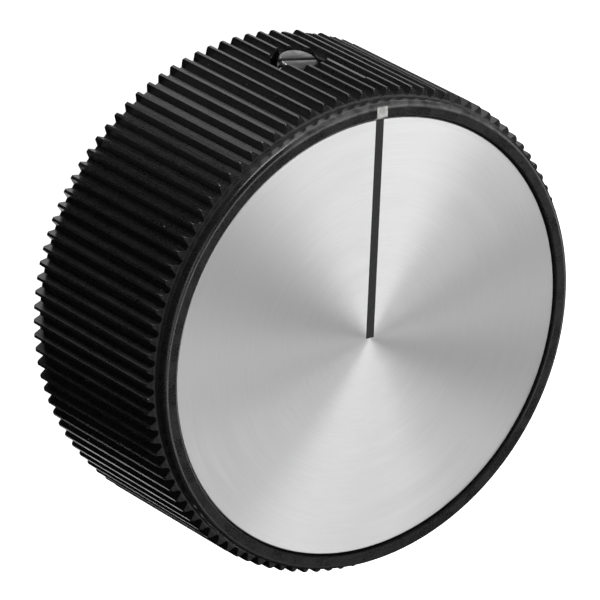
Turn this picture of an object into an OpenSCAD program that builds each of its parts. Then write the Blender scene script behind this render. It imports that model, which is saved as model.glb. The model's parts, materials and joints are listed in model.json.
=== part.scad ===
// Fluted control knob with a turned dial inlay and a radial set screw.
// The knob stands on its back. The origin is the centre of the back face, +Z runs along the
// shaft towards the dial, and +Y points to the index mark.

/* [Body] */
// Diameter over the rib crests at the back
body_d = 50.3; // [44:0.1:62]
// Height from the back to the top of the front lip
body_h = 21.6; // [18:0.2:27]
// Draft of the fluted side: the front is the narrower end
side_draft = 1; // [0:0.25:1.5]
// Thickness of the skirt behind the rib roots
skirt_wall = 2.4; // [1.8:0.1:3.2]
// Thickness of the front wall under the dial
front_wall = 2.8; // [2:0.1:3.6]
// Draft of the walls inside the back
core_draft = 1.5; // [0:0.25:2]
// Radius of the fillet round the bottom of the hollow back
core_fillet = 1; // [0.4:0.1:1.4]

/* [Ribs] */
// Number of ribs round the side
rib_count = 105; // [84:1:126]
// Height of a rib above the valley beside it
rib_h = 0.8; // [0.5:0.05:0.95]
// Width of a rib's crest
rib_crest = 0.28; // [0.2:0.02:0.34]
// Width of the flat floor of a valley
valley_floor = 0.42; // [0.3:0.02:0.5]
// Turn of the nearest rib from the index mark, in degrees
rib_turn = 2.6; // [0:0.01:3.4]
// Chamfer on the back ends of the ribs
rib_back_chamfer = 0.15; // [0.1:0.05:0.5]
// Radius that rounds the crests at their front ends
rib_end_round = 0.45; // [0.2:0.05:0.6]
// Slope of the ribs' front ends against the crest, in degrees
rib_end_slope = 55; // [40:1:70]

/* [Front lip] */
// Distance from the front of the lip back to the front ends of the ribs
shoulder_drop = 1.6; // [1.2:0.1:2.2]
// Depth of the step from the valley floors down to the smooth band
shoulder_step = 0.1; // [0.02:0.01:0.15]
// Radius of the lip's rounded outer edge
lip_round = 0.5; // [0.2:0.05:0.8]
// Chamfer on the lip's inner edge
lip_inner_chamfer = 0.08; // [0.04:0.02:0.16]

/* [Dial inlay] */
// Width of the front lip round the dial, at its flat front
lip_w = 1.4; // [1.1:0.05:1.8]
// Gap between the disc's edge and the recess
inlay_gap = 0.2; // [0.1:0.05:0.3]
// Thickness of the disc
inlay_t = 0.8; // [0.5:0.1:1.2]
// How far the disc lies below the lip
inlay_sink = 0.35; // [0.1:0.05:0.6]
// Chamfer on the disc's front edge
inlay_chamfer = 0.08; // [0.04:0.02:0.16]
// Thickness of the adhesive film
adhesive_t = 0.1; // [0.05:0.05:0.2]
// Distance of the film's edge from the disc's edge
adhesive_margin = 0.6; // [0.2:0.1:1.5]
// Width of the pointer line
pointer_w = 0.92; // [0.6:0.02:1.4]
// Depth of the pointer line
pointer_depth = 0.15; // [0.1:0.05:0.3]

/* [Index mark] */
// Width of the index mark in the lip
index_w = 1.22; // [0.8:0.02:1.8]
// Depth of its notch below the front of the lip
index_depth = 0.45; // [0.3:0.05:0.6]

/* [Hub] */
// Diameter of the shaft bore
bore_d = 6.1; // [5:0.05:6.6]
// Depth of the shaft bore
bore_depth = 14; // [11:0.5:15]
// Chamfer at the bore's mouth
bore_chamfer = 0.4; // [0.2:0.1:0.8]
// Diameter over the bushing's knurl
bushing_d = 14; // [12:0.5:15]
// Depth of the knurl
knurl_depth = 0.4; // [0.2:0.05:0.6]
// Number of knurl teeth
knurl_count = 30; // [20:1:40]
// Length of the plain collar at each end of the bushing
collar_l = 2; // [1:0.25:3]
// Thickness of the plastic round the bushing
hub_wall = 3; // [2.4:0.1:4]
// Distance from the back of the knob to the hub's end
hub_sink = 0.6; // [0:0.1:1.5]

/* [Webs] */
// Number of places round the hub where a web or the screw boss stands
web_places = 6; // [4:1:6]
// Thickness of a web
web_t = 1.8; // [1.2:0.1:2.4]
// Distance from the back of the knob to the webs' edges
web_sink = 5; // [2:0.5:7]

/* [Set screw] */
// Thread diameter of the screw
screw_d = 4; // [3:0.1:5]
// Distance from the screw's tip to the shaft bore, before it is tightened
screw_tip_gap = 1.26; // [0.6:0.02:1.6]
// Height of the screw's axis above the back, where it crosses the rib crests
screw_z = 8; // [7.6:0.1:9.4]
// Lean of the screw's outer end towards the dial, in degrees
screw_lean = 12; // [0:1:12]
// Turn of the screw from the index mark, in degrees
screw_turn = 0.9; // [-2:0.1:2]
// How far the screw's end lies inside the rib crests
screw_inset = 0.45; // [0.2:0.05:1.5]
// Chamfer on the screw's ends
screw_chamfer = 0.2; // [0.1:0.05:0.4]
// Width of the screwdriver slot
slot_w = 0.52; // [0.4:0.02:0.8]
// Depth of the screwdriver slot
slot_depth = 1.3; // [0.8:0.1:1.6]
// Turn of the slot about the screw's axis, in degrees
slot_turn = 15; // [0:1:90]
// Radial play of the screw in its tapped hole
thread_play = 0.03; // [0.01:0.01:0.06]
// Radial clearance of the screw in the body
screw_clearance = 0.2; // [0.1:0.05:0.4]
// Gap round the screw in the counterbore
counterbore_gap = 0.75; // [0.4:0.05:1]
// Depth of the counterbore below the rib crests
counterbore_depth = 2.6; // [1.6:0.1:3]
// Wall of the screw boss round the clearance hole
boss_wall = 1.5; // [1.2:0.1:1.8]

/* [Wear] */
// Depth worn off the crest of the rib in front of the screw
worn_depth = 0.14; // [0.04:0.02:0.3]
// Height at which the worn stretch of that rib ends
worn_end_z = 16.2; // [12:0.2:17]
// Depth of the chip at the back end of a rib
chip_depth = 0.28; // [0.1:0.02:0.4]
// Length of that chip along the rib
chip_l = 2.4; // [1:0.1:4]

/* [Hidden] */

$fn = 96;
over = 1;                                   // how far a cutting shape runs past the solid
arc_steps = 8;                              // straight steps in a drawn quarter circle

// Outer side
crest_r = body_d / 2;
draft_slope = tan(side_draft);
root_r = crest_r - rib_h;
shoulder_z = body_h - shoulder_drop;
band_r = root_r - shoulder_z * draft_slope - shoulder_step;
function crest_at(z) = crest_r - z * draft_slope;
rib_end_fall = crest_at(shoulder_z) - band_r;
rib_arc_fall = rib_end_round * (1 - cos(rib_end_slope));
rib_end_z = shoulder_z - rib_end_round * sin(rib_end_slope)
    - (rib_end_fall - rib_arc_fall) / tan(rib_end_slope);
rib_pitch = 360 / rib_count;
valley_mouth = 2 * PI * crest_r / rib_count - rib_crest;
valley_flare = (valley_mouth - valley_floor) / 2 / rib_h;

// Dial recess
recess_r = band_r - lip_w;
inlay_r = recess_r - inlay_gap;
inlay_face_z = body_h - inlay_sink;
inlay_back_z = inlay_face_z - inlay_t;
recess_z = inlay_back_z - adhesive_t;

// Hollow back
core_z = recess_z - front_wall;
core_r = root_r - skirt_wall;
core_slope = tan(core_draft);
hub_r = bushing_d / 2 + hub_wall;

// Screw
screw_r = screw_d / 2 - thread_play;
screw_l = crest_at(screw_z) - screw_inset - bore_d / 2 - screw_tip_gap;
screw_hole_r = screw_d / 2 + screw_clearance;
counterbore_r = screw_d / 2 + counterbore_gap;
boss_r = screw_hole_r + boss_wall;
carrier_r = boss_r - 0.2;
boss_end = crest_at(screw_z) - core_r + core_slope;
boss_l = core_r - bushing_d / 2 - hub_wall / 2;

// Wear of single ribs: rib counted from the one beside the index mark, two heights along it
// and the depth lost from its crest at each
wear = [[-2, screw_z, worn_end_z, worn_depth, worn_depth],
        [-3, -0.1, chip_l, chip_depth, 0.02],
        [-5, -0.1, chip_l * 0.4, chip_depth, 0.1],
        [-7, -0.1, chip_l * 0.25, chip_depth * 0.5, 0.05]];
wear_w = 0.9;

// Points of a circular arc about c, from angle a0 to a1
function arc(c, r, a0, a1, n) =
    [for (i = [0:n]) let (a = a0 + (a1 - a0) * i / n) [c[0] + r * cos(a), c[1] + r * sin(a)]];

// Half section of the body, without its ribs' valleys
function body_section() = concat(
    [[core_r, 0], [crest_r - rib_back_chamfer, 0],
     [crest_at(rib_back_chamfer), rib_back_chamfer],
     [crest_at(rib_end_z), rib_end_z]],
    arc([crest_at(rib_end_z) - rib_end_round, rib_end_z], rib_end_round,
        rib_end_slope / 4, rib_end_slope, 3),
    [[band_r, shoulder_z]],
    arc([band_r - lip_round, body_h - lip_round], lip_round, 0, 90, arc_steps),
    [[recess_r + lip_inner_chamfer, body_h], [recess_r, body_h - lip_inner_chamfer],
     [recess_r, recess_z], [0, recess_z], [0, hub_sink], [hub_r, hub_sink]],
    arc([hub_r + (core_z - hub_sink) * core_slope + core_fillet, core_z - core_fillet],
        core_fillet, 180, 90, arc_steps),
    arc([core_r - core_z * core_slope - core_fillet, core_z - core_fillet],
        core_fillet, 90, 0, arc_steps));

// One valley between two ribs, tilted by the draft
module valley() {
    depth = rib_h + over;
    mouth = valley_floor / 2 + valley_flare * depth;
    translate([root_r, 0, 0])
        rotate([0, -side_draft, 0])
            translate([0, 0, -over])
                linear_extrude(shoulder_z + 2 * over)
                    polygon([[0, -valley_floor / 2], [depth, -mouth],
                             [depth, mouth], [0, valley_floor / 2]]);
}

module webs() {
    for (i = [1:web_places - 1])
        rotate([0, 0, 90 + i * 360 / web_places])
            translate([bushing_d / 2 + hub_wall / 2, -web_t / 2, web_sink])
                cube([core_r - bushing_d / 2 - hub_wall / 2, web_t, core_z + over - web_sink]);
}

// Frame of the screw: the origin where its axis crosses the rib crests, +Y outwards along it
module at_screw() {
    rotate([0, 0, screw_turn])
        translate([0, crest_at(screw_z), screw_z])
            rotate([screw_lean, 0, 0])
                children();
}

// Boss from the hub to the skirt round the screw's hole, carried by a wall under the front
module screw_boss() {
    at_screw()
        translate([0, -boss_end, 0])
            rotate([90, 0, 0])
                linear_extrude(boss_l)
                    polygon(concat(arc([0, 0], boss_r, 180, 360, 2 * arc_steps),
                                   [[boss_r, screw_z / 2], [-boss_r, screw_z / 2]]));
    rotate([0, 0, screw_turn])
        translate([-carrier_r, bushing_d / 2 + hub_wall / 2, screw_z])
            cube([2 * carrier_r, boss_l, core_z + over - screw_z]);
}

// Cylinder on the screw's axis, between two depths below the rib crests
module screw_bore(r, top, bottom) {
    at_screw()
        translate([0, -top, 0])
            rotate([90, 0, 0])
                cylinder(r = r, h = bottom - top);
}

// What one rib has lost from its crest
module rib_wear(rib, z0, z1, d0, d1) {
    rotate([0, 0, 90 + rib_turn + rib * rib_pitch])
        rotate([90, 0, 0])
            linear_extrude(wear_w, center = true)
                polygon([[crest_at(z0) - d0, z0], [crest_at(z1) - d1, z1],
                         [crest_at(z1) + over, z1], [crest_at(z0) + over, z0]]);
}

function knurl_points() =
    [for (i = [0:2 * knurl_count - 1])
        let (a = 180 * i / knurl_count, r = bushing_d / 2 - (i % 2) * knurl_depth)
            [r * cos(a), r * sin(a)]];

// Outside of the moulded-in bushing, shared by the bushing and by its seat in the body
module bushing_outside(below) {
    collar_r = bushing_d / 2 - knurl_depth - 0.1;
    translate([0, 0, hub_sink - below])
        cylinder(r = collar_r, h = bore_depth + below);
    translate([0, 0, hub_sink + collar_l])
        linear_extrude(bore_depth - 2 * collar_l)
            polygon(knurl_points());
}

// Notch across the lip at the index mark
module index_notch(w, top) {
    translate([-w / 2, inlay_r, body_h - index_depth])
        cube([w, band_r - inlay_r + over, top]);
}

module knob_body() {
    color([0.05, 0.05, 0.055])
        difference() {
            union() {
                rotate_extrude() polygon(body_section());
                webs();
                screw_boss();
            }
            for (i = [0:rib_count - 1])
                rotate([0, 0, 90 + rib_turn + (i + 0.5) * rib_pitch]) valley();
            for (place = wear)
                rib_wear(place[0], place[1], place[2], place[3], place[4]);
            bushing_outside(over);
            screw_bore(screw_hole_r, 0, crest_r - bushing_d / 2 + knurl_depth + over);
            screw_bore(counterbore_r, -over, counterbore_depth);
            index_notch(index_w, index_depth + over);
        }
}

module dial_inlay() {
    color([0.8, 0.8, 0.81])
        difference() {
            translate([0, 0, inlay_back_z])
                rotate_extrude()
                    polygon([[0, 0], [inlay_r, 0], [inlay_r, inlay_t - inlay_chamfer],
                             [inlay_r - inlay_chamfer, inlay_t], [0, inlay_t]]);
            translate([-pointer_w / 2, 0, inlay_face_z - pointer_depth])
                cube([pointer_w, inlay_r + over, pointer_depth + over]);
        }
}

module inlay_adhesive() {
    color([0.85, 0.82, 0.7])
        translate([0, 0, recess_z])
            cylinder(r = inlay_r - adhesive_margin, h = adhesive_t);
}

module pointer_fill() {
    color([0.03, 0.03, 0.03])
        intersection() {
            translate([0, 0, inlay_face_z - pointer_depth])
                cylinder(r = inlay_r - inlay_chamfer, h = pointer_depth);
            translate([-pointer_w / 2, 0, inlay_face_z - pointer_depth])
                cube([pointer_w, inlay_r + over, pointer_depth]);
        }
}

module index_fill() {
    color([0.92, 0.92, 0.9])
        intersection() {
            rotate_extrude()
                polygon(concat(
                    [[recess_r, body_h - index_depth - over]],
                    [[band_r, body_h - index_depth - over]],
                    arc([band_r - lip_round, body_h - lip_round], lip_round, 0, 90, arc_steps),
                    [[recess_r + lip_inner_chamfer, body_h],
                     [recess_r, body_h - lip_inner_chamfer]]));
            index_notch(index_w, index_depth + over);
        }
}

module hub_bushing() {
    color([0.8, 0.65, 0.3])
        difference() {
            bushing_outside(0);
            translate([0, 0, hub_sink - over])
                cylinder(d = bore_d, h = bore_depth + 2 * over);
            translate([0, 0, hub_sink])
                cylinder(r1 = bore_d / 2 + bore_chamfer, r2 = bore_d / 2, h = bore_chamfer);
            screw_bore(screw_d / 2, crest_r - bushing_d / 2 - over, crest_r);
        }
}

module set_screw() {
    color([0.55, 0.55, 0.56])
        at_screw()
            translate([0, -screw_inset, 0])
                difference() {
                    rotate([90, 0, 0])
                        rotate_extrude()
                            polygon([[0, 0], [screw_r - screw_chamfer, 0],
                                     [screw_r, screw_chamfer],
                                     [screw_r, screw_l - screw_chamfer],
                                     [screw_r - screw_chamfer, screw_l], [0, screw_l]]);
                    rotate([0, -slot_turn, 0])
                        translate([-screw_d, -slot_depth, -slot_w / 2])
                            cube([2 * screw_d, slot_depth + over, slot_w]);
                }
}

knob_body();
dial_inlay();
inlay_adhesive();
pointer_fill();
index_fill();
hub_bushing();
set_screw();
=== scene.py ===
"""Fluted control knob, dressed: a black moulded body, a spun dial, its marks and a set screw.

Every length in the classes below is in millimetres, in the frame of the part: the origin is the
centre of the back face, +Z runs towards the dial and +Y points to the index mark.
"""

import json
import logging
import math
from abc import ABC, abstractmethod
from collections.abc import Callable, Sequence
from dataclasses import dataclass, field
from enum import Enum

import bmesh
import bpy
from mathutils import Matrix, Vector

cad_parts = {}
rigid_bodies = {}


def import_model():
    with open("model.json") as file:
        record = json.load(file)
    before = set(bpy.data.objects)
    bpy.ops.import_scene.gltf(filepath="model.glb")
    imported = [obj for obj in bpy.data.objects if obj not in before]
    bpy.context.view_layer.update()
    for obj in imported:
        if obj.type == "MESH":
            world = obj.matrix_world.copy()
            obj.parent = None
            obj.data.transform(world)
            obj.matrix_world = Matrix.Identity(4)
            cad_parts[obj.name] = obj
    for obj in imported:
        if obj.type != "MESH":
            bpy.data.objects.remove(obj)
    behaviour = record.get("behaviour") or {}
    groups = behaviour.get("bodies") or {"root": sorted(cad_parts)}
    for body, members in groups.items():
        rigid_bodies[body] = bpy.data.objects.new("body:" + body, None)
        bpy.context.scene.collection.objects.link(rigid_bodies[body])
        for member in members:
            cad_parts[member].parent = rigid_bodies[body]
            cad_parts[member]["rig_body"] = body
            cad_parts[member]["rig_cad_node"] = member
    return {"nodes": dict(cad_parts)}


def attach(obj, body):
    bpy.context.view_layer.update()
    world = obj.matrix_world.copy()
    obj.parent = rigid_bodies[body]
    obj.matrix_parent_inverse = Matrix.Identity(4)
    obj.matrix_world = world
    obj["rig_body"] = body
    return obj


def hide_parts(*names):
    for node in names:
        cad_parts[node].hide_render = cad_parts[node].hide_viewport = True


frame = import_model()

LOG = logging.getLogger("knob")
MM = 0.001
SAME = 1e-6

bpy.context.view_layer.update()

Value = bpy.types.NodeSocket | float


class Effect(Enum):
    """The shared shader effects, each a node group."""

    GRAIN = "moulded_grain"
    SPECKS = "dust_specks"
    RINGS = "turned_rings"


class NodeBench:
    """Adds and wires the nodes of one node tree.

    Args:
        tree: The node tree to work in.
    """

    def __init__(self, tree: bpy.types.NodeTree) -> None:
        """Keeps the tree."""
        self.tree = tree

    def add(self, kind: str, **settings: object) -> bpy.types.Node:
        """Adds a node and sets its properties.

        Args:
            kind: The node's type name, without the ShaderNode part.
            settings: Properties of the node by name.

        Returns:
            The new node.
        """
        node = self.tree.nodes.new("ShaderNode" + kind)
        for name, value in settings.items():
            setattr(node, name, value)
        return node

    def feed(self, socket: bpy.types.NodeSocket, value: Value | Sequence[float]) -> None:
        """Wires a socket into an input, or sets the input to a constant.

        Args:
            socket: The input socket.
            value: An output socket, a number or a tuple of numbers.
        """
        if isinstance(value, bpy.types.NodeSocket):
            self.tree.links.new(value, socket)
        else:
            socket.default_value = value

    def maths(self, operation: str, *values: Value, clamp: bool = False) -> bpy.types.NodeSocket:
        """Adds one Math node.

        Args:
            operation: Blender's name of the operation.
            values: One value for each input.
            clamp: Whether the result is kept between 0 and 1.

        Returns:
            The node's output.
        """
        node = self.add("Math", operation=operation, use_clamp=clamp)
        for socket, value in zip(node.inputs, values):
            self.feed(socket, value)
        return node.outputs[0]

    def spread(
        self, value: Value, low: float, high: float, to_low: Value = 0.0, to_high: Value = 1.0
    ) -> bpy.types.NodeSocket:
        """Maps a range smoothly onto another.

        Args:
            value: The value to map.
            low: Start of the range.
            high: End of the range.
            to_low: Result at the start.
            to_high: Result at the end.

        Returns:
            The mapped value.
        """
        node = self.add("MapRange", interpolation_type="SMOOTHSTEP")
        for name, given in zip(
            ("Value", "From Min", "From Max", "To Min", "To Max"),
            (value, low, high, to_low, to_high),
        ):
            self.feed(node.inputs[name], given)
        return node.outputs["Result"]

    def blend(
        self, factor: Value, first: Value | Sequence[float], second: Value | Sequence[float]
    ) -> bpy.types.NodeSocket:
        """Mixes two colours.

        Args:
            factor: Share of the second colour.
            first: Colour at 0.
            second: Colour at 1.

        Returns:
            The mixed colour.
        """
        node = self.add("Mix", data_type="RGBA")
        self.feed(node.inputs[0], factor)
        self.feed(node.inputs[6], first)
        self.feed(node.inputs[7], second)
        return node.outputs[2]

    def noise(self, place: Value, per_metre: Value, detail: float = 3.0) -> bpy.types.NodeSocket:
        """Adds a noise pattern.

        Args:
            place: The vector it is read at.
            per_metre: Scale of the pattern.
            detail: Number of octaves.

        Returns:
            The noise value, about 0.5 on average.
        """
        node = self.add("TexNoise")
        self.feed(node.inputs["Vector"], place)
        self.feed(node.inputs["Scale"], per_metre)
        node.inputs["Detail"].default_value = detail
        return node.outputs["Fac"]

    def polar(self, place: Value) -> tuple[bpy.types.NodeSocket, ...]:
        """Splits a place into its coordinates and its distance from the Z axis.

        Args:
            place: The vector.

        Returns:
            Its X, Y and Z, and its distance from the Z axis.
        """
        parts = self.add("SeparateXYZ")
        self.feed(parts.inputs[0], place)
        x, y, z = parts.outputs
        square = self.maths("ADD", self.maths("MULTIPLY", x, x), self.maths("MULTIPLY", y, y))
        return x, y, z, self.maths("SQRT", square)

    def effect(self, effect: Effect, **inputs: Value) -> bpy.types.Node:
        """Places a shared effect.

        Args:
            effect: Which effect.
            inputs: Its inputs by name, with spaces written as underscores.

        Returns:
            The group node.
        """
        node = self.add("Group", node_tree=EffectShelf.get(effect))
        for name, value in inputs.items():
            self.feed(node.inputs[name.replace("_", " ")], value)
        return node


class EffectShelf:
    """Builds each shared effect once and hands it out."""

    FINE_RANGE = (0.35, 0.65)
    SLOW_RANGE = (0.3, 0.7)
    FINE_SHARE = 0.65
    SPECK_EDGE = 30.0

    @classmethod
    def get(cls, effect: Effect) -> bpy.types.NodeTree:
        """Returns the group of an effect, building it the first time.

        Args:
            effect: Which effect.

        Returns:
            The node group.
        """
        made = bpy.data.node_groups.get(effect.value)
        if made is not None:
            return made
        builders: dict[Effect, Callable[[], bpy.types.NodeTree]] = {
            Effect.GRAIN: cls._grain,
            Effect.SPECKS: cls._specks,
            Effect.RINGS: cls._rings,
        }
        return builders[effect]()

    @staticmethod
    def _start(
        effect: Effect, inputs: dict[str, float | None], outputs: Sequence[str]
    ) -> tuple[NodeBench, bpy.types.Node, bpy.types.Node]:
        """Makes an empty group with its sockets.

        Args:
            effect: Which effect it is for.
            inputs: Names of the inputs and their values; None makes a vector input.
            outputs: Names of the outputs.

        Returns:
            The bench of the group, its input node and its output node.
        """
        tree = bpy.data.node_groups.new(effect.value, "ShaderNodeTree")
        for name, value in inputs.items():
            kind = "NodeSocketVector" if value is None else "NodeSocketFloat"
            socket = tree.interface.new_socket(name, in_out="INPUT", socket_type=kind)
            if value is not None:
                socket.default_value = value
        for name in outputs:
            tree.interface.new_socket(name, in_out="OUTPUT", socket_type="NodeSocketFloat")
        return NodeBench(tree), tree.nodes.new("NodeGroupInput"), tree.nodes.new("NodeGroupOutput")

    @classmethod
    def _grain(cls) -> bpy.types.NodeTree:
        """Fine grain of a moulded or painted surface, with a slow unevenness over it."""
        bench, given, out = cls._start(
            Effect.GRAIN, {"Vector": None, "Grain": 6000.0, "Patches": 350.0},
            ("Tone", "Fine", "Height"),
        )
        fine = bench.noise(given.outputs["Vector"], given.outputs["Grain"], 2.0)
        slow = bench.noise(given.outputs["Vector"], given.outputs["Patches"], 4.0)
        bench.feed(out.inputs["Tone"], bench.spread(slow, *cls.SLOW_RANGE))
        bench.feed(out.inputs["Fine"], bench.spread(fine, *cls.FINE_RANGE))
        height = bench.maths("MULTIPLY_ADD", slow, 1 - cls.FINE_SHARE,
                             bench.maths("MULTIPLY", fine, cls.FINE_SHARE))
        bench.feed(out.inputs["Height"], height)
        return bench.tree

    @classmethod
    def _specks(cls) -> bpy.types.NodeTree:
        """Sparse specks of dust of uneven size."""
        bench, given, out = cls._start(
            Effect.SPECKS, {"Vector": None, "Density": 900.0, "Size": 0.1, "Share": 0.12},
            ("Mask",),
        )
        cells = bench.add("TexVoronoi", feature="F1")
        bench.feed(cells.inputs["Vector"], given.outputs["Vector"])
        bench.feed(cells.inputs["Scale"], given.outputs["Density"])
        pick = bench.add("SeparateColor")
        bench.feed(pick.inputs[0], cells.outputs["Color"])
        chosen = bench.maths("LESS_THAN", pick.outputs[0], given.outputs["Share"])
        reach = bench.maths("MULTIPLY", given.outputs["Size"], pick.outputs[1])
        dot = bench.maths("SUBTRACT", reach, cells.outputs["Distance"])
        soft = bench.maths("MULTIPLY", dot, cls.SPECK_EDGE, clamp=True)
        bench.feed(out.inputs["Mask"], bench.maths("MULTIPLY", chosen, soft))
        return bench.tree

    @classmethod
    def _rings(cls) -> bpy.types.NodeTree:
        """Concentric tool marks round the Z axis of the vector, which break up round the turn."""
        bench, given, out = cls._start(
            Effect.RINGS, {"Vector": None, "Rings": 9000.0, "Breaks": 2.5}, ("Tone", "Height")
        )
        x, y, _, radius = bench.polar(given.outputs["Vector"])
        turn = bench.maths("ARCTAN2", y, x)
        around = bench.add("CombineXYZ")
        bench.feed(around.inputs[0], bench.maths("MULTIPLY", radius, given.outputs["Rings"]))
        for socket, wave in zip(list(around.inputs)[1:], ("COSINE", "SINE")):
            bench.feed(socket, bench.maths("MULTIPLY", bench.maths(wave, turn),
                                           given.outputs["Breaks"]))
        marks = bench.noise(around.outputs[0], 1.0, 2.0)
        bench.feed(out.inputs["Tone"], bench.spread(marks, *cls.SLOW_RANGE))
        bench.feed(out.inputs["Height"], marks)
        return bench.tree


@dataclass(frozen=True)
class Finish(ABC):
    """A finish that makes one material."""

    name: str

    def material(self) -> bpy.types.Material:
        """Returns the finish's material, building it the first time."""
        made = bpy.data.materials.get(self.name)
        if made is None:
            made = bpy.data.materials.new(self.name)
            made.use_nodes = True
            bench = NodeBench(made.node_tree)
            shader = made.node_tree.nodes["Principled BSDF"]
            place = bench.add("TexCoord").outputs["Object"]
            self.dress(bench, shader, place)
        return made

    def relief(
        self, bench: NodeBench, shader: bpy.types.Node, height: Value, depth: float,
        strength: float,
    ) -> None:
        """Feeds a height into the shader's normal.

        Args:
            bench: Bench of the material.
            shader: The Principled shader.
            height: The height, from 0 to 1.
            depth: What a height of 1 stands for, in millimetres.
            strength: Strength of the bump.
        """
        bump = bench.add("Bump")
        bump.inputs["Strength"].default_value = strength
        bump.inputs["Distance"].default_value = depth * MM
        bench.feed(bump.inputs["Height"], height)
        bench.feed(shader.inputs["Normal"], bump.outputs["Normal"])

    @abstractmethod
    def dress(self, bench: NodeBench, shader: bpy.types.Node, place: bpy.types.NodeSocket) -> None:
        """Wires the finish.

        Args:
            bench: Bench of the material.
            shader: The Principled shader.
            place: Object coordinates.
        """


@dataclass(frozen=True)
class BlackMoulding(Finish):
    """Black thermoset moulding: satin, finely grained and dusty, with scuffs along its front edges
    that are drawn lighter towards the top as a painted highlight.
    """

    colour: tuple[float, float, float, float] = (0.003, 0.003, 0.003, 1.0)
    haze: tuple[float, float, float, float] = (0.03, 0.03, 0.03, 1.0)
    dust: tuple[float, float, float, float] = (0.30, 0.30, 0.29, 1.0)
    # Lighter grey of the scuffs, which also paints the highlight of the lip's rounding and of the
    # shoulder line.
    scuff_and_highlight: tuple[float, float, float, float] = (0.15, 0.15, 0.15, 1.0)
    gloss_low: float = 0.24
    gloss_high: float = 0.32
    rounding: tuple[float, float] = (23.36, 21.08)
    shoulder: tuple[float, float] = (24.08, 19.96)
    # Turn about Z, from +X, towards which the painted highlight is strongest, and the spread over
    # which it fades.
    highlight_towards: float = 82.0
    highlight_spread: tuple[float, float] = (0.74, 0.93)
    edge_tone: float = 0.8
    matt_step: tuple[float, float] = (19.88, 20.45)
    matt: float = 0.8
    matt_fade: tuple[float, float] = (0.1, 0.15)
    scuff_and_highlight_fade: float = 0.06
    grain_depth: float = 0.02
    strength: float = 0.35

    def dress(self, bench: NodeBench, shader: bpy.types.Node, place: bpy.types.NodeSocket) -> None:
        """Wires grain, haze, dust, the scuffs with their painted highlight, and the matt step at
        the ends of the ribs.
        """
        grain = bench.effect(Effect.GRAIN, Vector=place, Grain=9000.0, Patches=420.0)
        specks = bench.effect(Effect.SPECKS, Vector=place, Density=1100.0, Size=0.12, Share=0.05)
        tone = bench.blend(grain.outputs["Fine"], self.colour, self.haze)
        # Painted highlight and scuffs: the lip's rounding and the shoulder line are drawn lighter,
        # most towards the top.
        tone = bench.blend(self.scuff_and_highlight_mask(bench, place), tone, self.scuff_and_highlight)
        tone = bench.blend(specks.outputs["Mask"], tone, self.dust)
        bench.feed(shader.inputs["Base Color"], tone)
        rough = bench.spread(grain.outputs["Tone"], 0.0, 1.0, self.gloss_low, self.gloss_high)
        height = bench.polar(place)[2]
        low, high = self.matt_step
        rise, fall = self.matt_fade
        step = bench.maths(
            "MULTIPLY", bench.spread(height, (low - rise) * MM, low * MM),
            bench.spread(height, high * MM, (high + fall) * MM, self.matt, 0.0))
        bench.feed(shader.inputs["Roughness"], bench.maths("MAXIMUM", rough, step))
        self.relief(bench, shader, grain.outputs["Height"], self.grain_depth, self.strength)

    def scuff_and_highlight_mask(self, bench: NodeBench, place: bpy.types.NodeSocket) -> bpy.types.NodeSocket:
        """Masks the lip's rounding and the shoulder line: partly mottled scuffs, partly a painted
        highlight that is strongest towards the top.

        Args:
            bench: Bench of the material.
            place: Object coordinates.

        Returns:
            The mask.
        """
        x, y, z, radius = bench.polar(place)
        reach, height = self.rounding
        fade = self.scuff_and_highlight_fade
        band = bench.maths(
            "MULTIPLY", bench.spread(radius, (reach - fade) * MM, (reach + fade) * MM),
            bench.spread(z, (height - fade) * MM, (height + fade) * MM))
        # The shoulder line is a painted highlight: a thin lighter line along the shoulder edge.
        reach, height = self.shoulder
        line = bench.maths(
            "MULTIPLY", bench.spread(radius, reach * MM, (reach + 0.1) * MM, 1.0, 0.0),
            bench.maths("MULTIPLY", bench.spread(z, (height - 0.1) * MM, height * MM),
                        bench.spread(z, (height + 0.05) * MM, (height + 0.15) * MM, 1.0, 0.0)))
        # The painted highlight is strongest on the side towards this turn, where the light falls,
        # and fades away from it.
        turn = math.radians(self.highlight_towards)
        along = bench.maths("MULTIPLY_ADD", x, math.cos(turn),
                            bench.maths("MULTIPLY", y, math.sin(turn)))
        side = bench.spread(bench.maths("DIVIDE", along, radius), *self.highlight_spread)
        patches = bench.spread(bench.noise(place, 900.0, 5.0), 0.36, 0.6, 0.35, 1.0)
        band = bench.maths("MULTIPLY", bench.maths("MULTIPLY", band, side), patches)
        line = bench.maths("MULTIPLY", bench.maths("MULTIPLY", line, self.edge_tone),
                           bench.spread(side, 0.0, 1.0, 0.35, 1.0))
        return bench.maths("MAXIMUM", band, line)


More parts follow.
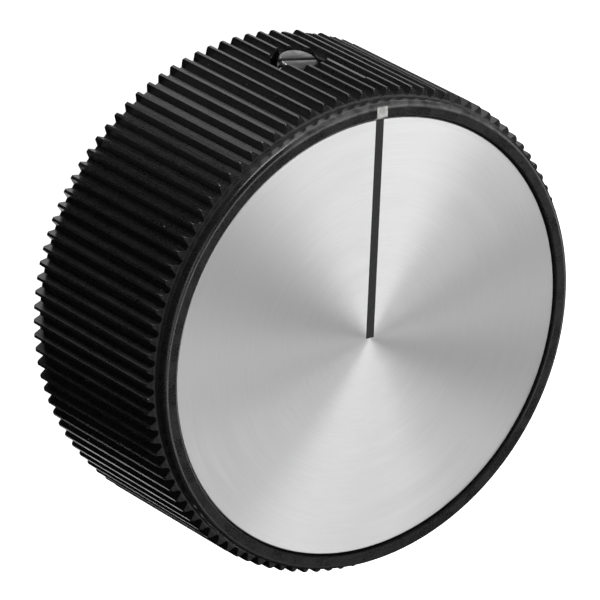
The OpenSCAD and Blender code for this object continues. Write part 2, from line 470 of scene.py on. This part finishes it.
@dataclass(frozen=True)
class SpunMetal(Finish):
    """Metal turned on a lathe, whose fine rings spread the light across them."""

    colour: tuple[float, float, float, float] = (0.96, 0.96, 0.96, 1.0)
    shade: tuple[float, float, float, float] = (0.92, 0.92, 0.92, 1.0)
    roughness: float = 0.5
    unevenness: float = 0.015
    spread_across: float = 0.95
    rings: float = 14000.0
    breaks: float = 4.0
    depth: float = 0.0006
    rim: float = 22.16
    rim_fade: float = 0.03
    rim_roughness: float = 0.9
    broad_share: float = 12.0
    strength: float = 0.3

    def dress(self, bench: NodeBench, shader: bpy.types.Node, place: bpy.types.NodeSocket) -> None:
        """Wires the rings and sets the spread of the light."""
        rings = bench.effect(Effect.RINGS, Vector=place, Rings=self.rings, Breaks=self.breaks)
        broad = bench.effect(Effect.RINGS, Vector=place, Rings=self.rings / self.broad_share,
                             Breaks=1.0)
        shader.inputs["Metallic"].default_value = 1.0
        shader.inputs["Anisotropic"].default_value = self.spread_across
        around = bench.add("Tangent", direction_type="RADIAL", axis="Z")
        bench.feed(shader.inputs["Tangent"], around.outputs[0])
        bench.feed(shader.inputs["Base Color"],
                   bench.blend(rings.outputs["Tone"], self.shade, self.colour))
        rough = bench.spread(broad.outputs["Tone"], 0.0, 1.0,
                             self.roughness - self.unevenness, self.roughness + self.unevenness)
        radius = bench.polar(place)[3]
        rough = bench.spread(radius, self.rim * MM, (self.rim + self.rim_fade) * MM, rough,
                             self.rim_roughness)
        bench.feed(shader.inputs["Roughness"], rough)
        self.relief(bench, shader, rings.outputs["Height"], self.depth, self.strength)


@dataclass(frozen=True)
class Paint(Finish):
    """Paint wiped into an engraved line, a little uneven."""

    colour: tuple[float, float, float, float] = (0.006, 0.006, 0.006, 1.0)
    shade: tuple[float, float, float, float] = (0.012, 0.012, 0.012, 1.0)
    roughness: float = 0.5
    patches: float = 1500.0
    depth: float = 0.02
    worn: tuple[float, float, float, float] = (0.09, 0.09, 0.09, 1.0)
    worn_beyond: float | None = None
    worn_fade: float = 0.12
    strength: float = 0.4

    def dress(self, bench: NodeBench, shader: bpy.types.Node, place: bpy.types.NodeSocket) -> None:
        """Wires the uneven tone and the slight relief."""
        grain = bench.effect(Effect.GRAIN, Vector=place, Grain=9000.0, Patches=self.patches)
        tone = bench.blend(grain.outputs["Tone"], self.colour, self.shade)
        if self.worn_beyond is not None:
            up = bench.polar(place)[1]
            edge = bench.maths("MULTIPLY_ADD", grain.outputs["Fine"], self.worn_fade * MM, up)
            rubbed = bench.spread(edge, self.worn_beyond * MM,
                                  (self.worn_beyond + self.worn_fade) * MM)
            tone = bench.blend(rubbed, tone, self.worn)
        bench.feed(shader.inputs["Base Color"], tone)
        shader.inputs["Roughness"].default_value = self.roughness
        self.relief(bench, shader, grain.outputs["Height"], self.depth, self.strength)


@dataclass(frozen=True)
class BareMetal(Finish):
    """Plain steel or brass with faint tool marks."""

    colour: tuple[float, float, float, float] = (0.42, 0.42, 0.43, 1.0)
    shade: tuple[float, float, float, float] = (0.28, 0.28, 0.28, 1.0)
    roughness: float = 0.38
    patches: float = 900.0
    duller: float = 0.08
    brighter: float = 0.05
    depth: float = 0.01
    strength: float = 0.3

    def dress(self, bench: NodeBench, shader: bpy.types.Node, place: bpy.types.NodeSocket) -> None:
        """Wires stains, uneven gloss and fine scratches."""
        grain = bench.effect(Effect.GRAIN, Vector=place, Grain=12000.0, Patches=self.patches)
        shader.inputs["Metallic"].default_value = 1.0
        bench.feed(shader.inputs["Base Color"],
                   bench.blend(grain.outputs["Tone"], self.shade, self.colour))
        rough = bench.spread(grain.outputs["Tone"], 0.0, 1.0,
                             self.roughness + self.duller, self.roughness - self.brighter)
        bench.feed(shader.inputs["Roughness"], rough)
        self.relief(bench, shader, grain.outputs["Height"], self.depth, self.strength)


class Bench:
    """Selection and edit-mode helpers shared by the pieces."""

    @staticmethod
    def clear() -> None:
        """Deselects every object."""
        if bpy.context.object is not None and bpy.context.object.mode != "OBJECT":
            bpy.ops.object.mode_set(mode="OBJECT")
        bpy.ops.object.select_all(action="DESELECT")

    @classmethod
    def take(cls, piece: bpy.types.Object) -> None:
        """Makes one object the selected and active one.

        Args:
            piece: The object.
        """
        cls.clear()
        piece.select_set(True)
        bpy.context.view_layer.objects.active = piece

    @classmethod
    def named(cls, name: str) -> bpy.types.Object:
        """Names the object that an operator has just added, with its place moved into its mesh.

        Args:
            name: The new name.

        Returns:
            The object.
        """
        piece = bpy.context.object
        piece.name = name
        piece.data.name = name
        cls.take(piece)
        bpy.ops.object.transform_apply(location=True, rotation=True, scale=True)
        return piece

    @staticmethod
    def choose(piece: bpy.types.Object, wanted: Callable[[Vector], bool]) -> int:
        """Selects in edit mode the vertices at places that pass a test.

        Args:
            piece: The object, in edit mode.
            wanted: Says whether a vertex at a place is wanted.

        Returns:
            How many vertices are selected.
        """
        mesh = bmesh.from_edit_mesh(piece.data)
        bpy.ops.mesh.select_mode(type="VERT")
        count = 0
        for vertex in mesh.verts:
            vertex.select = wanted(vertex.co)
            count += vertex.select
        mesh.select_flush_mode()
        bmesh.update_edit_mesh(piece.data)
        return count

    @staticmethod
    def keep_sharp(piece: bpy.types.Object, degrees: float) -> None:
        """Keeps, of the chosen edges, those that are sharper than an angle.

        Args:
            piece: The object, in edit mode.
            degrees: The angle.
        """
        mesh = bmesh.from_edit_mesh(piece.data)
        bpy.ops.mesh.select_mode(type="EDGE")
        for edge in [edge for edge in mesh.edges if edge.select]:
            edge.select = edge.calc_face_angle(0.0) >= math.radians(degrees)
        mesh.select_flush_mode()
        bmesh.update_edit_mesh(piece.data)

    @classmethod
    def apply(cls, piece: bpy.types.Object, kind: str, **settings: object) -> None:
        """Adds a modifier and applies it.

        Args:
            piece: The object.
            kind: Type of the modifier.
            settings: Its settings by name.
        """
        cls.take(piece)
        step = piece.modifiers.new(kind.lower(), kind)
        for name, value in settings.items():
            setattr(step, name, value)
        bpy.ops.object.modifier_apply(modifier=step.name)

    @classmethod
    def cut(cls, piece: bpy.types.Object, tool: bpy.types.Object) -> None:
        """Cuts a tool's shape out of a piece and removes the tool.

        Args:
            piece: The object that is cut.
            tool: The object that cuts.
        """
        cls.apply(piece, "BOOLEAN", operation="DIFFERENCE", solver="EXACT", object=tool)
        bpy.data.objects.remove(tool)

    @classmethod
    def smooth(cls, piece: bpy.types.Object, degrees: float) -> None:
        """Shades a piece smooth, with edges sharper than an angle kept.

        Args:
            piece: The object.
            degrees: The angle.
        """
        cls.take(piece)
        bpy.ops.object.shade_smooth_by_angle(angle=math.radians(degrees))


class Piece(ABC):
    """A sub-assembly that builds or dresses one or more pieces."""

    @abstractmethod
    def build(self) -> list[bpy.types.Object]:
        """Builds and dresses the pieces and returns them."""

    @staticmethod
    def join_frame(piece: bpy.types.Object, node: str, slot: str) -> None:
        """Lets a new piece ride on the frame in place of a node.

        Args:
            piece: The new piece.
            node: The node it stands for.
            slot: Not used.
        """
        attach(piece, "root")
        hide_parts(node)

    @staticmethod
    def dress(piece: bpy.types.Object, finish: Finish) -> None:
        """Gives a piece one finish.

        Args:
            piece: The piece.
            finish: Its finish.
        """
        if not piece.material_slots:
            piece.data.materials.append(None)
        for slot in piece.material_slots:
            slot.material = finish.material()


@dataclass
class FlutedBody(Piece):
    """The moulded body: fluted side, front lip, hollow back with hub and webs.

    The crests get a rounding of their full width. On the other edges the modifier narrows it to
    what their closest neighbours leave. The ring of each rib end is told by its height, and each
    row of end_rises holds a lowest height, a highest height and how far the ring is drawn out.
    """

    node: str = "knob_body"
    edge_width: float = 0.085
    edge_segments: int = 3
    fine_segments: int = 2
    edge_angle: float = 28.0
    smooth_angle: float = 32.0
    flat_angle: float = 0.3
    flat_weight: int = 100
    merge_distance: float = 0.002
    crest_reach: float = 24.78
    chamfer_top: float = 0.25
    end_foot: float = 19.4
    end_reach: float = 24.12
    band_radius: float = 23.95
    end_rises: tuple[tuple[float, float, float], ...] = (
        (19.90, 19.97, 0.055), (19.78, 19.86, 0.146), (19.68, 19.76, 0.228), (19.05, 19.60, 0.41),
    )
    finish: Finish = BlackMoulding("black_moulding")

    def build(self) -> list[bpy.types.Object]:
        """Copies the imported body, squares its rib ends and rounds every sharp edge."""
        Bench.clear()
        source = frame["nodes"][self.node]
        piece = source.copy()
        piece.data = source.data.copy()
        piece.name = piece.data.name = "fluted_body"
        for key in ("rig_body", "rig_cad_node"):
            del piece[key]
        bpy.context.scene.collection.objects.link(piece)
        Bench.take(piece)
        bpy.ops.object.parent_clear(type="CLEAR")
        bpy.ops.object.mode_set(mode="EDIT")
        bpy.ops.mesh.select_all(action="SELECT")
        bpy.ops.mesh.remove_doubles(threshold=self.merge_distance * MM)
        bpy.ops.mesh.customdata_custom_splitnormals_clear()
        bpy.ops.mesh.dissolve_limited(angle_limit=math.radians(self.flat_angle))
        self.square_ends(piece)
        self.round_crests(piece)
        bpy.ops.object.mode_set(mode="OBJECT")
        Bench.apply(
            piece, "BEVEL", width=self.edge_width * MM, segments=self.fine_segments,
            limit_method="ANGLE", angle_limit=math.radians(self.edge_angle),
        )
        Bench.smooth(piece, self.smooth_angle)
        Bench.apply(piece, "WEIGHTED_NORMAL", weight=self.flat_weight, keep_sharp=True)
        self.dress(piece, self.finish)
        self.join_frame(piece, self.node, "body")
        return [piece]

    def square_ends(self, piece: bpy.types.Object) -> None:
        """Draws the front ends of the ribs out to the shoulder, ring by ring.

        Args:
            piece: The body, in edit mode.
        """
        for low, high, rise in self.end_rises:
            def on_end(co: Vector, low: float = low, high: float = high) -> bool:
                """Tells whether a vertex lies on this ring of the rib ends."""
                return low * MM < co.z < high * MM and co.xy.length > self.band_radius * MM

            Bench.choose(piece, on_end)
            bpy.ops.transform.translate(value=(0, 0, rise * MM))

    def round_crests(self, piece: bpy.types.Object) -> None:
        """Rounds the crests of the ribs and the sides of their front ends.

        Args:
            piece: The body, in edit mode.
        """
        def on_crest(co: Vector) -> bool:
            """Tells whether a vertex lies on a crest or on the upper part of a rib's end."""
            reach = co.xy.length
            if co.z > self.end_foot * MM:
                return reach > self.end_reach * MM
            return reach > self.crest_reach * MM and co.z > self.chamfer_top * MM

        Bench.choose(piece, on_crest)
        Bench.keep_sharp(piece, self.edge_angle)
        bpy.ops.mesh.bevel(
            offset=self.edge_width * MM, segments=self.edge_segments, affect="EDGES",
            clamp_overlap=False,
        )


@dataclass
class SetScrew(Piece):
    """The slotted set screw with its thread, leaning towards the dial."""

    node: str = "set_screw"
    radius: float = 1.97
    inset: float = 0.45
    length: float = 20.25
    chamfer: float = 0.2
    crossing: tuple[float, float] = (25.0104, 8.0)
    lean: float = 12.0
    turn: float = 0.9
    slot_width: float = 0.52
    slot_depth: float = 1.3
    slot_turn: float = 15.0
    slot_edge: float = 0.03
    slot_edge_segments: int = 2
    thread_pitch: float = 0.7
    thread_depth: float = 0.34
    thread_slope: float = 2.6
    thread_flat: float = 0.15
    thread_start: float = 0.3
    smooth_angle: float = 50.0
    columns: int = 36
    rings_per_turn: int = 6
    finish: Finish = BareMetal("screw_steel")

    def build(self) -> list[bpy.types.Object]:
        """Turns the screw along Z, cuts its thread and slot, and sets it in its hole."""
        piece = self.turn_blank()
        self.cut_thread(piece)
        self.saw_slot(piece)
        piece.rotation_euler = (math.radians(self.lean - 90), 0, math.radians(self.turn))
        reach, height = self.crossing
        piece.location = Matrix.Rotation(math.radians(self.turn), 3, "Z") @ Vector(
            (0, reach * MM, height * MM))
        Bench.take(piece)
        bpy.ops.object.transform_apply(location=True, rotation=True, scale=True)
        Bench.smooth(piece, self.smooth_angle)
        self.dress(piece, self.finish)
        self.join_frame(piece, self.node, "screw")
        return [piece]

    def turn_blank(self) -> bpy.types.Object:
        """Draws the shank ring by ring from its head down.

        Returns:
            The blank, with its head up the Z axis.
        """
        Bench.clear()
        bpy.ops.mesh.primitive_circle_add(
            vertices=self.columns, radius=(self.radius - self.chamfer) * MM,
            fill_type="NGON", location=(0, 0, -self.inset * MM),
        )
        piece = Bench.named("slotted_set_screw")
        bpy.ops.object.mode_set(mode="EDIT")
        bpy.ops.mesh.select_all(action="SELECT")
        step = self.thread_pitch / self.rings_per_turn
        rings = int((self.length - 2 * self.chamfer) / step)
        rest = self.length - 2 * self.chamfer - rings * step
        bevel = self.radius / (self.radius - self.chamfer)
        self.draw(self.chamfer, bevel)
        for _ in range(rings):
            self.draw(step, 1.0)
        self.draw(rest, 1.0)
        self.draw(self.chamfer, 1 / bevel)
        bpy.ops.mesh.select_all(action="SELECT")
        bpy.ops.mesh.normals_make_consistent(inside=False)
        bpy.ops.object.mode_set(mode="OBJECT")
        return piece

    @staticmethod
    def draw(fall: float, grow: float) -> None:
        """Extrudes the selected ring down and scales it about the axis.

        Args:
            fall: How far down.
            grow: Scale of the new ring.
        """
        bpy.ops.mesh.extrude_region_move(TRANSFORM_OT_translate={"value": (0, 0, -fall * MM)})
        if grow != 1.0:
            bpy.ops.transform.resize(value=(grow, grow, 1), center_override=(0, 0, 0))

    def cut_thread(self, piece: bpy.types.Object) -> None:
        """Draws in the vertices that lie on each line of the helix.

        Args:
            piece: The blank.
        """
        Bench.take(piece)
        bpy.ops.object.mode_set(mode="EDIT")
        top = -(self.inset + self.chamfer + self.thread_start) * MM
        foot = -(self.inset + self.length - self.chamfer * 1.5) * MM
        for line in range(self.columns):
            rise = self.thread_slope * abs(line / self.columns - 0.5) - self.thread_flat
            depth = self.thread_depth * max(0.0, min(1.0, rise))
            if depth <= 0:
                continue

            def on_line(co: Vector, line: int = line) -> bool:
                """Tells whether a vertex lies on this line of the helix."""
                around = math.atan2(co.y, co.x) / math.tau + co.z / (self.thread_pitch * MM)
                return foot < co.z < top and round(around * self.columns) % self.columns == line

            if Bench.choose(piece, on_line):
                scale = 1 - depth / self.radius
                bpy.ops.transform.resize(value=(scale, scale, 1), center_override=(0, 0, 0))
        bpy.ops.object.mode_set(mode="OBJECT")

    def saw_slot(self, piece: bpy.types.Object) -> None:
        """Saws the screwdriver slot and breaks the edges of the head.

        Args:
            piece: The screw.
        """
        Bench.clear()
        bpy.ops.mesh.primitive_cube_add(
            size=1, location=(0, 0, -self.inset * MM),
            rotation=(0, 0, -math.radians(self.slot_turn)),
            scale=(3 * self.radius * MM, self.slot_width * MM, 2 * self.slot_depth * MM),
        )
        Bench.cut(piece, Bench.named("slot_saw"))
        Bench.take(piece)
        bpy.ops.object.mode_set(mode="EDIT")
        head = -self.inset * MM
        Bench.choose(piece, lambda co: abs(co.z - head) < SAME)
        bpy.ops.mesh.bevel(
            offset=self.slot_edge * MM, segments=self.slot_edge_segments, affect="EDGES")
        bpy.ops.object.mode_set(mode="OBJECT")


@dataclass
class DressedNodes(Piece):
    """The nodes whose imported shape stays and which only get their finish."""

    finishes: dict[str, Finish] = field(default_factory=lambda: {
        "dial_inlay": SpunMetal("spun_dial"),
        "pointer_fill": Paint("pointer_paint"),
        "index_fill": Paint("index_paint", colour=(0.86, 0.86, 0.84, 1.0),
                            shade=(0.5, 0.5, 0.49, 1.0), worn_beyond=23.6),
        "inlay_adhesive": Paint("adhesive_film", colour=(0.78, 0.74, 0.60, 1.0),
                                shade=(0.70, 0.66, 0.52, 1.0), roughness=0.35),
        "hub_bushing": BareMetal("turned_brass", colour=(0.78, 0.58, 0.28, 1.0),
                                 shade=(0.60, 0.42, 0.18, 1.0), roughness=0.3),
    })

    def build(self) -> list[bpy.types.Object]:
        """Assigns each finish to its node's material slots."""
        for node, finish in self.finishes.items():
            self.dress(frame["nodes"][node], finish)
        return [frame["nodes"][node] for node in self.finishes]


@dataclass(frozen=True)
class SoftBox:
    """A round soft panel that faces the knob."""

    direction: tuple[float, float, float]
    power: float
    size: float = 500.0
    distance: float = 900.0


@dataclass
class Studio:
    """Pale floor, soft light and the camera.

    The floor's size and the camera's clip range are in metres.
    """

    target: tuple[float, float, float] = (0.0, 0.0, 11.0)
    camera_place: tuple[float, float, float] = (-244.665, 157.966, 354.529)
    camera_right: tuple[float, float, float] = (0.82351, 0.03858, 0.56600)
    camera_up: tuple[float, float, float] = (0.16848, 0.93604, -0.30895)
    lens: float = 274.52
    sensor: float = 36.0
    clip: tuple[float, float] = (0.01, 20.0)
    world_tone: float = 0.0
    floor_size: float = 3.0
    floor_colour: tuple[float, float, float, float] = (0.9, 0.9, 0.9, 1.0)
    floor_glow: float = 1.0
    panels: tuple[SoftBox, ...] = (
        SoftBox((0.200, 0.000, 0.980), 1.46),
        SoftBox((0.038, -0.436, 0.899), 1.41),
        SoftBox((0.870, -0.191, 0.455), 1.30),
        SoftBox((0.708, 0.259, 0.657), 0.51),
        SoftBox((0.542, 0.223, 0.810), 0.35, 300.0),
        SoftBox((0.346, -0.740, 0.576), 0.27),
        SoftBox((-0.566, -0.100, 0.818), 0.79),
        SoftBox((-0.728, 0.300, 0.616), 0.91),
        SoftBox((0.312, 0.407, 0.859), 0.27),
        SoftBox((0.540, 0.740, 0.330), 0.20),
        SoftBox((-0.250, 0.929, -0.275), 3.90, 450.0),
        SoftBox((0.120, 0.640, -0.760), 0.80),
        SoftBox((0.540, 0.350, -0.760), 0.60),
        SoftBox((0.650, -0.100, -0.760), 0.15),
        SoftBox((0.150, -0.665, -0.732), 0.32, 300.0),
    )

    def build(self) -> None:
        """Sets up floor, light, world and camera."""
        self.lay_floor()
        for number, panel in enumerate(self.panels):
            self.hang(number, panel)
        self.tint_world()
        self.place_camera()
        bpy.context.scene.view_settings.view_transform = "Standard"

    def lay_floor(self) -> None:
        """Lays the plain pale floor that the knob stands on."""
        Bench.clear()
        bpy.ops.mesh.primitive_plane_add(size=self.floor_size)
        floor = bpy.context.object
        floor.name = "floor"
        for ray in ("glossy", "diffuse", "transmission", "shadow"):
            setattr(floor, "visible_" + ray, False)
        paint = bpy.data.materials.new("pale_floor")
        paint.use_nodes = True
        bench = NodeBench(paint.node_tree)
        shader = paint.node_tree.nodes["Principled BSDF"]
        shader.inputs["Base Color"].default_value = self.floor_colour
        shader.inputs["Emission Color"].default_value = (1.0, 1.0, 1.0, 1.0)
        shader.inputs["Emission Strength"].default_value = self.floor_glow
        side = bench.add("NewGeometry").outputs["Backfacing"]
        bench.feed(shader.inputs["Alpha"], bench.maths("SUBTRACT", 1.0, side))
        floor.data.materials.append(paint)

    def hang(self, number: int, panel: SoftBox) -> None:
        """Hangs one soft panel.

        Args:
            number: Its number, for its name.
            panel: Its direction, power and size.
        """
        Bench.clear()
        towards = Vector(panel.direction).normalized()
        bpy.ops.object.light_add(
            type="AREA", location=(Vector(self.target) + towards * panel.distance) * MM,
            rotation=towards.to_track_quat("Z", "Y").to_euler(),
        )
        light = bpy.context.object
        light.name = f"soft_panel_{number}"
        light.data.shape = "DISK"
        light.data.size = panel.size * MM
        light.data.energy = panel.power

    def tint_world(self) -> None:
        """Gives the room round the set a plain pale tone."""
        world = bpy.data.worlds.new("pale_room")
        bpy.context.scene.world = world
        world.use_nodes = True
        room = world.node_tree.nodes["Background"]
        room.inputs["Color"].default_value = (1.0, 1.0, 1.0, 1.0)
        room.inputs["Strength"].default_value = self.world_tone

    def place_camera(self) -> None:
        """Places the camera, which is turned so that the index mark is up."""
        Bench.clear()
        bpy.ops.object.camera_add()
        camera = bpy.context.object
        camera.name = "camera"
        right, up = Vector(self.camera_right), Vector(self.camera_up)
        turn = Matrix((right, up, right.cross(up))).transposed().to_4x4()
        camera.matrix_world = Matrix.Translation(Vector(self.camera_place) * MM) @ turn
        camera.data.lens = self.lens
        camera.data.sensor_width = self.sensor
        camera.data.clip_start, camera.data.clip_end = self.clip
        bpy.context.scene.camera = camera


def main() -> None:
    """Builds the pieces in order, reports each one and sets up the studio."""
    logging.basicConfig(level=logging.INFO, format="%(name)s: %(message)s")
    for part in (FlutedBody(), SetScrew(), DressedNodes()):
        for piece in part.build():
            LOG.info("%s: %d faces", piece.name, len(piece.data.polygons))
    Studio().build()


if __name__ == "__main__":
    main()
